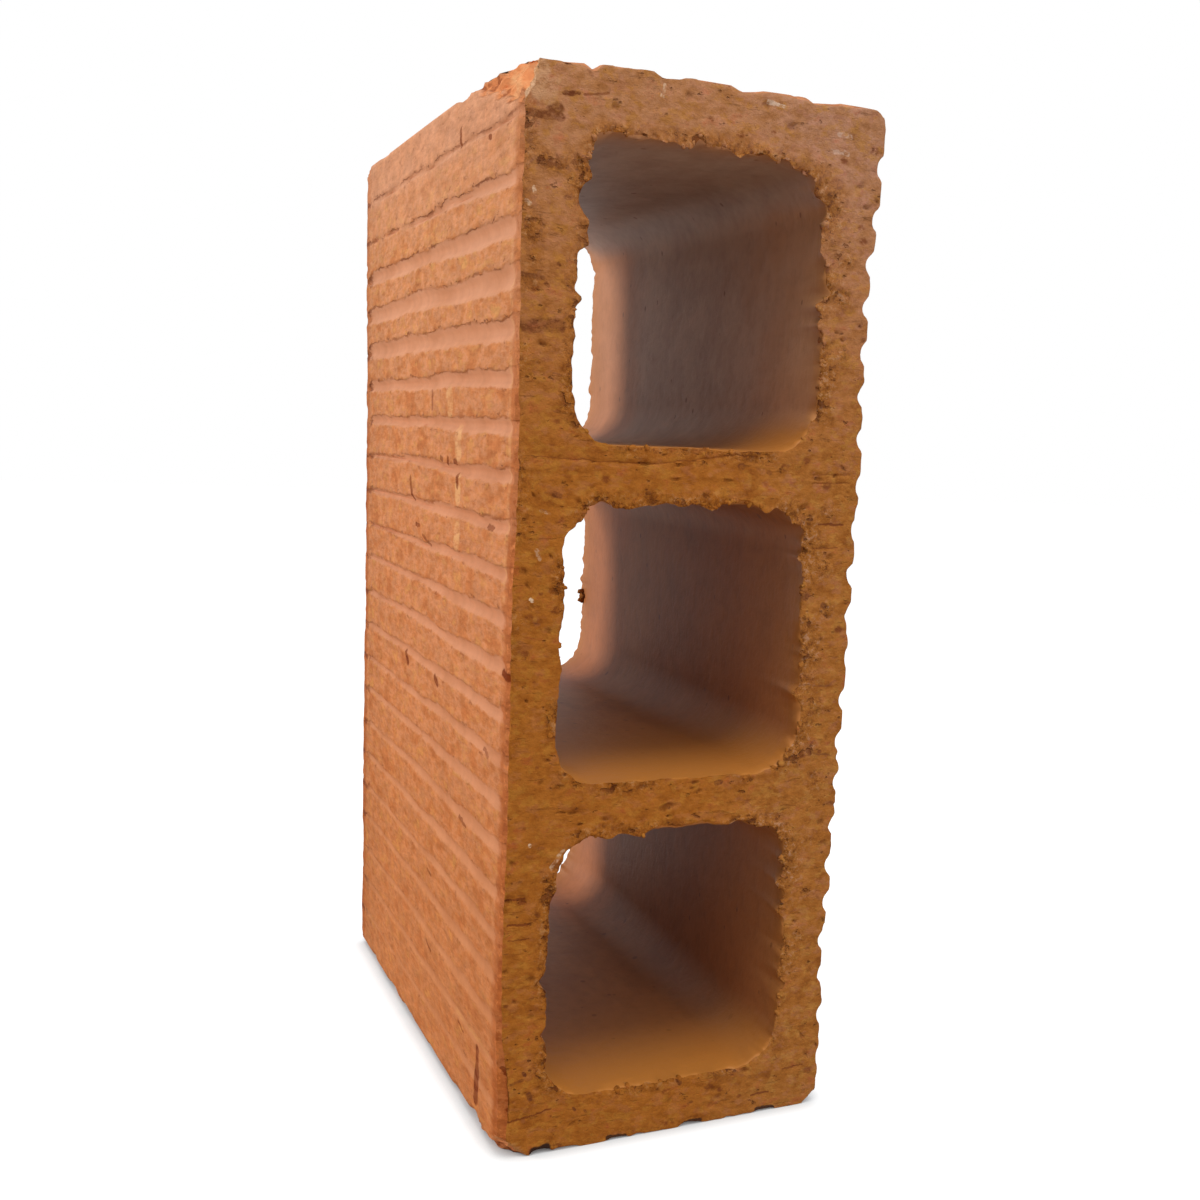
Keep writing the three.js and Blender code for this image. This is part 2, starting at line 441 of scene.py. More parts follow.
def combing(points, left):
    # The comb's grooves on one side: how deep the skin lies, how far inside a groove each point is
    # (below 0 between grooves), how dark the lip's shadow is and how much the clay tore between
    # grooves. A groove's middle, lip and foot wander along the brick, and near the cuts it runs out.
    y, z = points[:, 1], points[:, 2]
    fromFront = y + halfLength
    centres = grooveHeights()
    index = np.argmin(np.abs(z[:, None] - centres), axis=1)
    middle = centres[index]
    along = np.stack([y, index * 40.0, np.full(len(y), 7.0 if left else 90.0)], axis=1)

    def wander(spacing, seed):
        # noise that changes along the brick and from groove to groove
        return softNoise(along, (spacing, 1, 1), seed)

    offset = z - middle - (0.5 if left else 0.2) * wander(26, 11)
    half = brick["grooveWidth"] / 2
    if left:
        far = smooth(y, -60, 60)
        upper = knots("lipHeight", middle) + 0.35 * wander(14, 12)
        upper += 0.32 * wander(5.2, 13)
        lower = knots("footNear", middle) * (1 - far) + knots("footFar", middle) * far
        lower = np.minimum(lower + 0.4 * wander(17, 14), upper - 0.3)
        # at the far cut the upper lip was dragged down over the groove
        upper = np.maximum(upper - 2.2 * smooth(y, 60, 69.5), lower + 0.1)
        depth = knots("leftDepth", middle)
        runOut = smooth(fromFront + 0.8 * wander(50, 26), 1.4, 6.4)
        runOut *= smooth(halfLength - y, 0.5, 3)
        tear = 1 - 0.3 * smooth(z, 213, 221) - 0.45 * smooth(z, 225, 230) - 0.2 * smooth(z, 70, 15)
        shadow = knots("lipShadow", middle)
        shadow = np.maximum(shadow, 0.55 * smooth(y, 54, 62) * smooth(z, 20, 60))
    else:
        offset = offset - knots("rightShift", middle)
        upper = 1.1 * half + 0.3 * wander(8, 15)
        lower = -1.1 * half + 0.3 * wander(8, 16)
        depth = wear["rightGroove"] * knots("rightDepth", middle) * (1 + 0.15 * wander(30, 17))
        runOut = 0.4 + 0.6 * smooth(halfLength - y, 1, 5)
        tear = 0.75 + 0.25 * softNoise(points, 40, 19)
        shadow = 0.45 + 0.3 * wander(30, 22)
    share = held((offset - lower) / np.maximum(upper - lower, 0.1))
    rounded = grooveProfile((2 * share - 1) * half) / brick["grooveDepth"]
    inside = np.minimum(upper - offset, offset - lower)
    crown = 1 - smooth(inside, -0.3, 0.3)
    ragged = 0.08 * softNoise(points, (1, 7, 3.2), 18) + 0.14 * softNoise(points, (1, 13, 7), 20)
    ragged *= tear if left else 0.5
    lip = np.exp(-((offset - upper - 0.8) / 0.7) ** 2)
    proud = 0.2 * np.clip(0.4 + 1.2 * wander(7, 24), 0, 1.2)
    skinDepth = depth * rounded * runOut + crown * ragged - proud * lip * runOut * shadow
    if left:
        # the wire rolled the clay over at the near cut and left a low ridge beside it
        skinDepth -= 0.07 * np.exp(-((fromFront - 5.2) / 0.9) ** 2)
    over = smooth(offset, (upper + lower) / 2, upper)
    return skinDepth, inside, shadow * over * runOut, tear


def skinRelief(points, way):
    # depth below the block's outline on all four long sides, and the marks that the finish reads
    x, y, z = points.T
    fromFront = y + halfLength
    sideways = smooth(np.abs(way[:, 0]), 0.55, 0.85)
    onLeft = way[:, 0] < 0
    depth = np.empty(len(points))
    found = {name: np.empty(len(points)) for name in ("groove", "lip", "tear")}
    inner = smooth(fromFront, 25, 110)
    for left in (True, False):
        pick = onLeft == left
        grooves, inside, lip, tear = combing(points[pick], left)
        front = knots("leftWave" if left else "rightWave", z[pick])
        rear = 0.12 + 0.12 * softNoise(points[pick], (60, 60, 40), 21 + left)
        rear += knots("leftRearWave", z[pick]) * left
        depth[pick] = grooves + front * (1 - inner[pick]) + rear * inner[pick]
        flatEnds = 1 - sideways[pick]
        found["groove"][pick] = inside * (1 - flatEnds) - 4 * flatEnds
        found["lip"][pick] = lip * (1 - flatEnds)
        found["tear"][pick] = tear * (1 - flatEnds) + 0.35 * flatEnds
    # the near left edge is rounded towards the bed
    radius = knots("nearRadius", z)
    gone = np.maximum(radius - fromFront, 0)
    depth += np.where(onLeft, radius - np.sqrt(np.maximum(radius ** 2 - gone ** 2, 0)), 0) * 0.8
    flat = 0.15 + 0.15 * layeredNoise(points, (16, 40, 10), 23, 2)
    flat += 0.1 * softNoise(points, (1.6, 20, 1), 25)
    reach = np.exp(-(np.maximum(fromFront - wear["notchLength"], 0) / 3) ** 2)
    top = flat * (1 - reach) + knots("topNotches", x) * reach
    bed = 0.6 * flat * (1 - reach) + knots("bedNotches", x) * reach
    ends = np.where(way[:, 1] > 0, top, bed)
    depth = depth * sideways + ends * (1 - sideways)
    return np.maximum(depth, 0), found


def cutRelief(points, front, crumbly):
    # depth below a wire-cut end: a slow wave, fine level streaks that the wire left, grains, pits,
    # and lumps where the clay crumbled beside the cells
    moved = np.stack([softNoise(points, 1.7, seed) for seed in (39, 40)], axis=1)
    holes = pits(points[:, ::2] + 0.35 * moved, 3.2, 0.12, (0.75, 1.2), 37 + front)
    slow = 0.18 * softNoise(points, 24, 31 + front)
    streaks = 0.07 * layeredNoise(points, (13, 1, 1.3), 33 + front, 2)
    grains = 0.07 * softNoise(points, 1.3, 35 + front)
    lumps = crumbly * (0.9 * layeredNoise(points, 2.4, 42) + 0.15)
    return np.maximum(0.38 + slow + streaks + grains + lumps, 0.02) + 0.65 * holes, holes


def wearEdges(points, first, second, width, share, seed):
    # an edge where two faces meet is worn to a slope: where the distances to both add up to less
    # than the wear's width there, the point moves equally far into both
    wide = width * np.maximum(share + 0.9 * layeredNoise(points, 6.5, seed), 0.1)
    return np.maximum(wide - first - second, 0) / 2


def scarring(flat):
    # depth of the scratches: each fades over its own width from its line
    deep = np.zeros(len(flat))
    for line, width, _, depth in wear["scars"]:
        line = np.array(line, float)
        starts, runs = line[:-1], line[1:] - line[:-1]
        offset = flat[:, None] - starts
        along = held((offset * runs).sum(axis=2) / (runs ** 2).sum(axis=1))
        away = np.linalg.norm(offset - along[..., None] * runs, axis=2).min(axis=1)
        deep = np.maximum(deep, depth * (1 - smooth(away, 0.6 * width, 1.6 * width)))
    return deep


def byWay(way, amounts):
    # amounts for up, down, right and left, shared out by the way a mouth's edge faces
    ways = {"up": way[:, 1], "down": -way[:, 1], "right": way[:, 0], "left": -way[:, 0]}
    return sum(amounts[name] * held(part) for name, part in ways.items())


def radiiAway(points, x, z, radius):
    # distance in X and Z from a place, in radii
    return np.hypot(points[:, 0] - x, points[:, 2] - z) / radius


print("relief ready")

rest, faces, slots, marks = weld(brickSurfaces())
print("rest surface:", len(rest), "vertices,", len(faces), "faces")

skinDistance, skinWay = outlineDistance(rest[:, ::2], *block, edgeRadius(rest[:, ::2]))
skinDistance = -skinDistance
cellDistance = np.full(len(rest), 1e9)
cellWay = np.zeros((len(rest), 2))
for box in cellBoxes():
    distance, way = outlineDistance(rest[:, ::2], *box, brick["cellRadius"])
    nearer = distance < cellDistance
    cellDistance = np.where(nearer, distance, cellDistance)
    cellWay = np.where(nearer[:, None], way, cellWay)
cellDistance = np.maximum(cellDistance, 0)
fromFront = rest[:, 1] + halfLength
fromRear = halfLength - rest[:, 1]

# the skin
foot = rest.copy()
foot[:, ::2] += skinWay * skinDistance[:, None]
skinDepth, finishMarks = skinRelief(foot, skinWay)
points = rest.copy()
points[:, ::2] -= skinWay * (skinDepth * held(1 - skinDistance / wear["fade"]["skin"]))[:, None]

# cell mouths: the outline wanders and is jagged near the cuts
foot = rest.copy()
foot[:, ::2] -= cellWay * cellDistance[:, None]
strength = byWay(cellWay, wear["jag"])
mouth = np.exp(-fromFront / wear["jagReach"]) + 0.35 * np.exp(-fromRear / wear["jagReach"])
jag = layeredNoise(foot, (3.2, 3, 3.2), 41) + 0.5 * softNoise(foot, 9, 44)
jag = strength * mouth * jag
jag += np.exp(-fromRear / 1.2) * (0.35 * softNoise(foot, 1.2, 47) + 0.25 * softNoise(foot, 2.6, 48))
jag += 0.12 * softNoise(foot, (9, 40, 9), 45)
for lumps, gap in (("mouthLumps", fromFront), ("rearLumps", fromRear)):
    for x, z, radius, reach in wear[lumps]:
        jag -= reach * np.exp(-radiiAway(foot, x, z, radius) ** 2 - gap / wear["lumpReach"])
points[:, ::2] += cellWay * (jag * held(1 - cellDistance / wear["fade"]["mouth"]))[:, None]
leftWall, across, along = wear["driftFade"]
drift = knots("cellDrift", rest[:, 2]) * held(1 - np.abs(rest[:, 0] - leftWall) / across)
points[:, 0] += drift * np.exp(-fromFront / along)

# how crumbly each cut is beside the cells, most of all over them and on their right
crumbly = held(1 - cellDistance / (4 + 2.5 * held(cellWay[:, 0])))
crumbly *= held(0.05 + 0.75 * strength * np.where(cellWay[:, 0] < -0.5, 0.7, 1.0)
                + 1.2 * softNoise(rest, 8, 46))
# the cut also tore along the left edge and in a few other places
torn = 0.6 * held(1 - skinDistance / 5.5) * held(-skinWay[:, 0]) * smooth(rest[:, 2], 60, 150)
torn *= held(0.35 + 1.1 * layeredNoise(rest, 9, 49, 2))
for x, z, radius, amount in wear["tornSpots"]:
    spot = amount * np.exp(-radiiAway(rest, x, z, radius) ** 2) * (fromFront < 1)
    torn = np.maximum(torn, spot)
crumbly = np.maximum(crumbly, torn)

# cuts
cutPit = np.zeros(len(rest))
for front, gap, sign in ((1, fromFront, 1), (0, fromRear, -1)):
    depth, holes = cutRelief(rest, front, crumbly)
    points[:, 1] += sign * depth * held(1 - gap / wear["fade"]["cut"])
    cutPit = np.maximum(cutPit, holes * (gap < 1e-6))
points[:, 1] += scarring(rest[:, ::2]) * (fromFront < 1e-6)

# worn edges: cut to skin, cut to cell, and along the brick
for gap, sign, seed in ((fromFront, 1, 51), (fromRear, -1, 55)):
    for distance, way, edge in ((skinDistance, -skinWay, "cutToSkin"),
                                (cellDistance, cellWay, "cutToCell")):
        step = wearEdges(rest, distance, gap, *wear[edge], seed)
        points[:, ::2] += way * step[:, None]
        points[:, 1] += sign * step
        seed += 2
fromSide = halfWidth - np.abs(rest[:, 0])
fromBed = np.minimum(rest[:, 2], height - rest[:, 2])
upper = rest[:, 2] > height / 2
step = np.where(upper, *[wearEdges(rest, fromSide, fromBed, *wear[edge], 59)
                         for edge in ("topEdges", "bedEdges")])
step *= 1 + 0.6 * softNoise(rest, (6, 2.6, 6), 60)
points[:, 0] -= np.sign(rest[:, 0]) * step
points[:, 2] += np.where(upper, -step, step)

# broken corners: what stands past the break is laid back onto it
broken = np.zeros(len(rest))
for number, (place, facing, rough) in enumerate(wear["breaks"]):
    facing = np.array(facing) / np.linalg.norm(facing)
    chunks = layeredNoise(points, (2.4, 3.6, 2.4), 61 + number)
    past = (points - place) @ facing + rough * (0.5 - 1.4 * np.abs(chunks))
    near = np.linalg.norm(points - place, axis=1) < wear["breakReach"]
    past = np.where(near, np.maximum(past, 0), 0)
    points -= past[:, None] * facing
    broken = np.maximum(broken, smooth(past, 0.02, 0.25))

points = np.clip(points, low + brick["inset"], high - brick["inset"])
body = makeMesh("brick", points, faces, slots)
# dust of cut clay lies on the cell floors near the mouths, and a little on the walls; the yellow on the
# floors is partly painted light from above
lying = smooth(-cellWay[:, 1], -0.1, 0.7) * smooth(fromFront / knots("dustAndLightReach", rest[:, 2]), 1, 0.1)
dusty = np.maximum(lying, 0.75 * np.exp(-np.minimum(fromFront, fromRear) / 5))
finishMarks.update(broken=broken, pit=cutPit, crumbly=crumbly, dusty=dusty)
for name, values in finishMarks.items():
    layer = body.data.attributes.new(name, "FLOAT", "POINT")
    layer.data.foreach_set("value", values.astype(np.float32))

print("relief done")

crumbs = {
    "count": 240,
    "radius": (0.25, 0.85),
    "favour": {"up": 1.0, "right": 0.9, "left": 0.22, "down": 0.16},  # where they hang
    # how far they hang out into the cell and back from the cut, in radii, and how flat they are
    "inward": (-0.15, 1.6),
    "placedInward": 0.5,
    "back": 0.35,
    "squash": (0.5, 1.25),
    # lumps in their own places at the near mouths, and others at the rear: X, Z and radius
    "placed": [
        (1.6, 165.5, 1.6), (2.6, 165.5, 1.2), (-16, 165.2, 0.9), (-12.5, 165.2, 0.7), (8.5, 165, 0.8),
        (28.5, 214, 1), (16.5, 225.4, 0.9), (22.8, 222.5, 0.9), (30.2, 196.5, 1), (30.5, 189, 1.2),
        (29.9, 205.5, 0.9), (29.6, 178, 1), (13.8, 151, 1.2), (24, 149.6, 1), (30.2, 132, 1),
        (29.6, 119.8, 1.1), (29.8, 53, 1), (24.5, 73.8, 1), (-12.6, 13.6, 0.9), (-9.4, 13.2, 0.8),
        (3.8, 13.2, 0.9)],
    "far": [(29.7, 114.1, 1.2), (29.9, 113, 1.4), (29.8, 111.6, 1.3)],
    "farDepth": 1.5,
    "inset": 0.02,
}


def ballShape():
    # corners and triangles of a round ball of 80 triangles
    ball = bmesh.new()
    bmesh.ops.create_icosphere(ball, subdivisions=2, radius=1)
    mesh = bpy.data.meshes.new("ball")
    ball.to_mesh(mesh)
    ball.free()
    corners = np.empty(3 * len(mesh.vertices), np.float32)
    mesh.vertices.foreach_get("co", corners)
    sides = np.empty(len(mesh.loops), np.int32)
    mesh.loops.foreach_get("vertex_index", sides)
    bpy.data.meshes.remove(mesh)
    return corners.astype(float).reshape(-1, 3), sides.reshape(-1, 3)


def makeCrumbs(edge, way):
    # the ball is copied to every place at once, and each copy is squashed, scaled and roughened by
    # noise: point = place + size * squash * ball * (1 + noise)
    rng = np.random.default_rng(83)
    unit, sides = ballShape()
    chance = byWay(way, crumbs["favour"]) * np.maximum(0.4 + 1.6 * softNoise(edge, 7, 86), 0.05)
    chosen = rng.choice(len(edge), crumbs["count"], p=chance / chance.sum())
    least, most = crumbs["radius"]
    size = least + (most - least) * rng.uniform(size=len(chosen)) ** 2
    placed = np.array(crumbs["placed"])
    away = np.linalg.norm(edge[:, None, ::2] - placed[None, :, :2], axis=2)
    chosen = np.concatenate([chosen, np.argmin(away, axis=0)])
    size = np.concatenate([size, placed[:, 2]])
    place = edge[chosen].copy()
    inward = rng.uniform(*crumbs["inward"], len(chosen))
    inward[-len(placed):] = crumbs["placedInward"]
    place[:, ::2] += way[chosen] * (inward * size)[:, None]
    place[:, 1] += crumbs["back"] * size
    far = np.array(crumbs["far"])
    rear = np.full(len(far), halfLength - crumbs["farDepth"])
    place = np.concatenate([place, np.stack([far[:, 0], rear, far[:, 1]], axis=1)])
    size = np.concatenate([size, far[:, 2]])
    squash = rng.uniform(*crumbs["squash"], (len(place), 1, 3))
    offset = size[:, None, None] * squash * unit
    spots = (place[:, None] + offset).reshape(-1, 3)
    lumps = 1 + 0.6 * softNoise(spots, 0.8, 84) + 0.4 * softNoise(spots, 0.4, 85)
    points = (place[:, None] + offset * lumps.reshape(len(place), -1, 1)).reshape(-1, 3)
    reach = halfLength - crumbs["inset"]
    points[:, 1] = np.clip(points[:, 1], -reach, reach)
    faces = (sides[None] + len(unit) * np.arange(len(place))[:, None, None]).reshape(-1, 3)
    return makeMesh("crumbs", points, faces, np.zeros(len(faces), int))


mouthEdge = marks["front"] & marks["cell"]
loose = makeCrumbs(points[mouthEdge], cellWay[mouthEdge])
print("crumbs done:", len(loose.data.polygons), "faces")


def rgb(red, green, blue):
    # a colour as it is seen on screen, 0 to 255, turned into the linear values that shaders use
    share = [value / 255 for value in (red, green, blue)]
    return (*[v / 12.92 if v <= 0.04045 else ((v + 0.055) / 1.055) ** 2.4 for v in share], 1)


class Wire:
    # one output of a node; a sum, difference or product with it is made by a new node
    def __init__(self, socket):
        self.socket = socket
        self.tree = socket.id_data

    def __add__(self, other):
        return maths("ADD", self, other)

    def __sub__(self, other):
        return maths("SUBTRACT", self, other)

    def __rsub__(self, other):
        return maths("SUBTRACT", other, self)

    def __mul__(self, other):
        return maths("MULTIPLY", self, other)


def add(tree, kind, inputs=None, **settings):
    # one node; an input is given by name or number, as a value or as a wire from another node
    made = tree.nodes.new("ShaderNode" + kind)
    for key, value in settings.items():
        setattr(made, key, value)
    for key, value in (inputs or {}).items():
        if isinstance(value, Wire):
            tree.links.new(value.socket, made.inputs[key])
        else:
            made.inputs[key].default_value = value
    return made


def wire(tree, kind, output, inputs=None, **settings):
    return Wire(add(tree, kind, inputs, **settings).outputs[output])


def treeOf(values):
    return next(value.tree for value in values if isinstance(value, Wire))


def maths(operation, *values):
    inputs = dict(enumerate(values))
    return wire(treeOf(values), "Math", 0, inputs, operation=operation)


def vectors(operation, first, second, output="Vector"):
    inputs = {0: first, 1: second}
    return wire(treeOf((first, second)), "VectorMath", output, inputs, operation=operation)


def largest(*values):
    return functools.reduce(functools.partial(maths, "MAXIMUM"), values)


def split(value, kind="SeparateXYZ"):
    # the three parts of a vector or colour
    parts = add(value.tree, kind, {0: value}).outputs
    return Wire(parts[0]), Wire(parts[1]), Wire(parts[2])


def spread(value, start, end, low=0.0, high=1.0):
    # a value between start and end drawn out to low and high, held outside
    inputs = {"Value": value, "From Min": start, "From Max": end, "To Min": low, "To Max": high}
    return wire(value.tree, "MapRange", "Result", inputs, interpolation_type="SMOOTHSTEP")


def blend(fac, first, second, mode="MIX"):
    # from the first colour to the second as the factor grows from 0 to 1
    values = {0: fac, 6: first, 7: second}
    return wire(treeOf(values.values()), "Mix", 2, values, data_type="RGBA", blend_type=mode)


def coats(colour, *layers):
    # colours laid over one another, each as strongly as its share
    for share, shade in layers:
        colour = blend(share, colour, shade)
    return colour


def tint(colour, shade, share=1.0):
    # a colour multiplied by a shade
    return blend(share, colour, shade, "MULTIPLY")


def grey(value):
    return wire(value.tree, "CombineXYZ", 0, {0: value, 1: value, 2: value})


def ramp(fac, *stops):
    # straight blends between colours; a stop is the factor that its colour belongs to
    made = add(fac.tree, "ValToRGB", {"Fac": fac})
    elements = made.color_ramp.elements
    while len(elements) < len(stops):
        elements.new(0.5)
    for element, (place, colour) in zip(elements, stops):
        element.position = place
        element.color = colour
    return Wire(made.outputs["Color"])


def mark(tree, name):
    # what the mesh says about its surface under that name
    return wire(tree, "Attribute", "Fac", attribute_name=name)


def clayCoordinates(tree, stretch=(1, 1, 1)):
    # object coordinates in millimetres, drawn out by one over the stretch along each axis
    place = wire(tree, "TexCoord", "Object")
    scale = [1000 * s for s in stretch]
    return wire(tree, "Mapping", "Vector", {"Vector": place, "Scale": scale})


def noise(tree, stretch, scale, detail=3.0, rough=0.55):
    # cloudy noise, 0 to 1, with a scale in cells a millimetre
    inputs = {"Vector": clayCoordinates(tree, stretch), "Scale": scale, "Detail": detail}
    return wire(tree, "TexNoise", "Fac", {**inputs, "Roughness": rough})


def specks(tree, stretch, scale, size, share, shift):
    # round specks in a share of the squares of a grid: 1 inside a speck, 0 outside
    inputs = {"Vector": clayCoordinates(tree, stretch), "Location": [shift] * 3}
    place = wire(tree, "Mapping", "Vector", inputs)
    cells = add(tree, "TexVoronoi", {"Vector": place, "Scale": scale}).outputs
    width, pick, _ = split(Wire(cells["Color"]), "SeparateColor")
    inside = maths("DIVIDE", Wire(cells["Distance"]), spread(width, 0, 1, 0.35 * size, size))
    return spread(inside, 1.0, 0.5) * maths("LESS_THAN", pick, share)


def stroke(place, start, end, width):
    # 1 within a width of the line from start to end, fading to 0: the distance is taken to the
    # nearest point of the line, whose share of the way comes from a dot product, held at 0 and 1
    run = Vector(end) - Vector(start)
    offset = vectors("SUBTRACT", place, start)
    share = vectors("DOT_PRODUCT", offset, run / run.length_squared, "Value")
    share = wire(place.tree, "Clamp", "Result", {"Value": share})
    inputs = {0: run, "Scale": share}
    nearest = wire(place.tree, "VectorMath", "Vector", inputs, operation="SCALE")
    away = vectors("DISTANCE", offset, nearest, "Value")
    return spread(away, 1.15 * width, 0.65 * width)


def strokes(place, point, marks):
    # the strongest of several strokes everywhere; a mark is the two coordinates of its start, those
    # of its end, its width and its strength, and point makes a place of two coordinates
    return largest(*[stroke(place, point(*line[:2]), point(*line[2:]), width) * strength
                     for *line, width, strength in marks])


def flatPlace(tree, axes, wander):
    # the point in millimetres with one axis left out, moved a little by noise so that lines waver
    flat = clayCoordinates(tree, axes)
    field = wire(tree, "TexNoise", "Color", {"Vector": flat, "Scale": 0.4, "Detail": 3.0})
    centred = vectors("SUBTRACT", field, (0.5, 0.5, 0.5))
    return vectors("ADD", flat, vectors("MULTIPLY", centred, [wander * a for a in axes]))


def newMaterial(name):
    material = bpy.data.materials.new(name)
    material.use_nodes = True
    return material, material.node_tree


def finishClay(material, colour, relief, look):
    shader = material.node_tree.nodes["Principled BSDF"].inputs
    inputs = {"Height": relief, "Distance": look["depth"] * mm}
    bump = wire(colour.tree, "Bump", "Normal", inputs)
    colour.tree.links.new(bump.socket, shader["Normal"])
    colour.tree.links.new(colour.socket, shader["Base Color"])
    shader["Roughness"].default_value = look["rough"]
    shader["Specular IOR Level"].default_value = look["gloss"]
    return material


cutFinish = {
    # the clay's four colours, which follow one another in its patches, low down and high up
    # the change from low down to high up is painted light: cooler light from above, warm bounce from
    # below
    "low": [rgb(142, 78, 24), rgb(166, 98, 32), rgb(176, 108, 40), rgb(172, 92, 42)],
    "high": [rgb(160, 104, 58), rgb(180, 123, 78), rgb(190, 135, 97), rgb(188, 117, 80)],
    "rosy": rgb(196, 134, 112), "facet": rgb(204, 160, 124), "yellow": rgb(188, 128, 50),
    # the pit colour darkens hollows and caves: partly dirt, partly painted shade
    "pit": rgb(98, 46, 18), "pale": rgb(216, 186, 158), "soot": rgb(106, 56, 28),
    # the lump colour is a painted highlight on crumbled lumps and the fresh clay of breaks; the palest
    # colour here is a painted highlight along a broken rim
    "lump": rgb(206, 150, 100), "spot": rgb(112, 54, 22), "rimHighlightColour": rgb(238, 194, 158),
    # the gap colour is painted shadow under the near bed edge
    "gap": rgb(50, 30, 22), "right": (1, 1.08, 1.36, 1), "rightLow": (1.02, 1.14, 1.72, 1),
    "depth": 0.5, "rough": 0.92, "gloss": 0.15,
    # pale grit and lime in the cut: two points in X and Z, width, strength
    "paleMarks": [
        (-12.5, 235.4, -12.1, 237.6, 0.45, 0.6), (12.6, 237.6, 16.6, 237.1, 0.45, 0.8),
        (-36.9, 75.5, -36.6, 75.3, 0.45, 1), (-38.2, 130.4, -37.9, 130.2, 0.45, 1),
        (-41.8, 211.5, -41.2, 210.9, 0.55, 0.5), (-40.3, 214.3, -40, 213.4, 0.45, 0.6),
        (-36.4, 149.4, -34.4, 148.8, 0.4, 0.35), (-37.2, 141, -36.6, 139.2, 0.5, 0.35),
        (31, 233.3, 33.8, 233, 0.6, 0.35), (29.4, 229.6, 33.6, 229.4, 0.6, 0.35),
        (-31.4, 69.6, -29.6, 72.6, 0.5, 0.6), (-29.6, 72.6, -28.6, 73.6, 0.4, 0.5)],
    # iron spots and smears
    "darkMarks": [
        (-39.2, 219.7, -36.6, 219, 0.7, 1), (-35.6, 219.2, -34, 218.8, 0.6, 0.9),
        (-31.8, 220.2, -28.6, 220.8, 0.6, 0.8), (-34.3, 232.9, -31.4, 233.4, 0.5, 0.9),
        (-42.6, 197.4, -37.6, 196.8, 0.5, 0.7), (-36.8, 195.8, -36.4, 195.5, 0.5, 0.9),
        (-34.3, 199.9, -34, 199.7, 0.45, 1), (-41.4, 208.2, -40.6, 208, 0.5, 0.6),
        (-33.2, 213.2, -32.6, 213, 0.6, 0.6), (35, 128.2, 35.8, 127.7, 0.7, 0.8),
        (28.8, 130.4, 30.6, 130.2, 0.7, 0.8), (30.4, 109.1, 38.6, 108.6, 0.25, 0.5),
        (34.7, 92.1, 40.6, 91.3, 0.3, 0.5), (10.8, 160, 11.3, 159.8, 0.8, 0.7),
        (18, 158.9, 18.4, 158.7, 0.6, 0.7), (9.3, 86.5, 10.3, 86.8, 0.7, 0.9),
        (-33.4, 152.8, -32.3, 152.6, 0.7, 0.8), (-23.8, 10.1, -23.4, 9.6, 0.4, 0.8),
        (-20.9, 9, -20.6, 8.6, 0.35, 0.8), (3.2, 12.4, 3.8, 11.6, 0.55, 0.9),
        (6.4, 6, 7.4, 6.2, 0.35, 0.8), (-36.4, 21, -36.2, 20.6, 0.45, 1.1),
        (-39.6, 18.6, -37, 19.2, 0.5, 0.7), (-19.3, 212.9, -18.8, 212.8, 0.6, 0.8),
        (17.5, 17.9, 18.1, 17.7, 0.8, 0.9), (-32.1, 29.6, -31.8, 29.2, 0.7, 0.9),
        (-35, 15.6, -34.8, 14.2, 0.6, 1.1), (-25, 149.6, -22, 149.4, 0.6, 0.7),
        (-41.2, 187.1, -33.6, 187.6, 1.5, 0.75), (-43.2, 228.5, -34.8, 228.4, 0.9, 0.8),
        (-36.8, 229.6, -35.4, 230, 1.2, 0.75)],
    # painted shadow in the chips under the near bed edge
    "gapShadows": [
        (-33.4, 0.9, -30.2, 1.3, 1.2, 1), (6, 0.8, 9.8, 0.8, 0.8, 0.9),
        (25.8, 0.7, 30.4, 0.7, 0.8, 0.9), (-14.6, 0.8, -10.2, 0.6, 0.7, 0.9)],
    # where the corner broke off, the cut is smeared smooth, and a painted highlight runs along its
    # broken rim
    "smooth": [(-39.6, 232.6, -39, 237, 1.9, 0.55), (-37.4, 231.6, -36.4, 234.6, 1.5, 0.35)],
    "rimHighlight": [(-40.2, 239.2, -41.2, 233.8, 0.5, 0.75), (-41.2, 233.8, -43.2, 230.4, 0.5, 0.75)],
}


